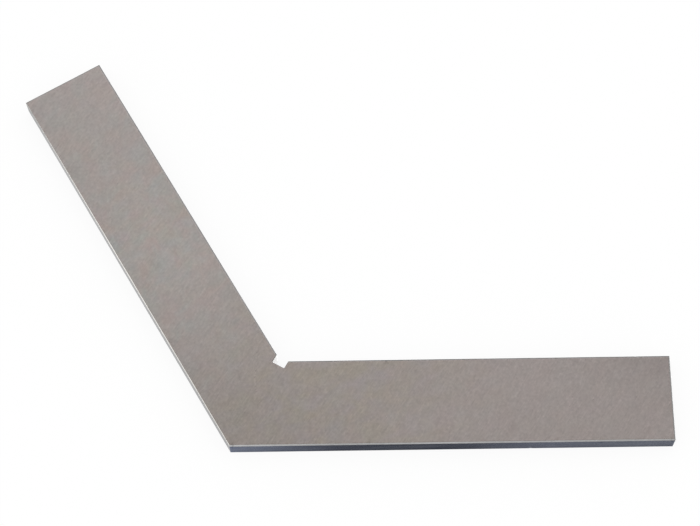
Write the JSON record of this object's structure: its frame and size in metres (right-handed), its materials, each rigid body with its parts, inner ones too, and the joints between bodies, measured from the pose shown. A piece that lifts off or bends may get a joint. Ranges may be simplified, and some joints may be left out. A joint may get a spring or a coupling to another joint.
{
  "type": "flat angle square",
  "caption": "Flat steel square with equal arms fixed at 120 degrees, chamfered edges and a relief slot in the inner corner, for checking and scribing that angle.",
  "frame": {"origin": "outer vertex of the 120 degree angle, where the planes of the two outer edges meet, on the plane of the bottom face", "axes": "+Z from the bottom face to the top face, +X along the outer edge of the right arm, +Y towards the inside of the angle; the left arm's outer edge leaves the origin at 120 degrees from +X"},
  "size_m": [0.15, 0.0966, 0.005],
  "materials": {
    "ground_steel": "fine ground, faces satin, edges brighter"
  },
  "bodies": {
    "root": {"square_plate": "ground_steel"}
  },
  "joints": []
}
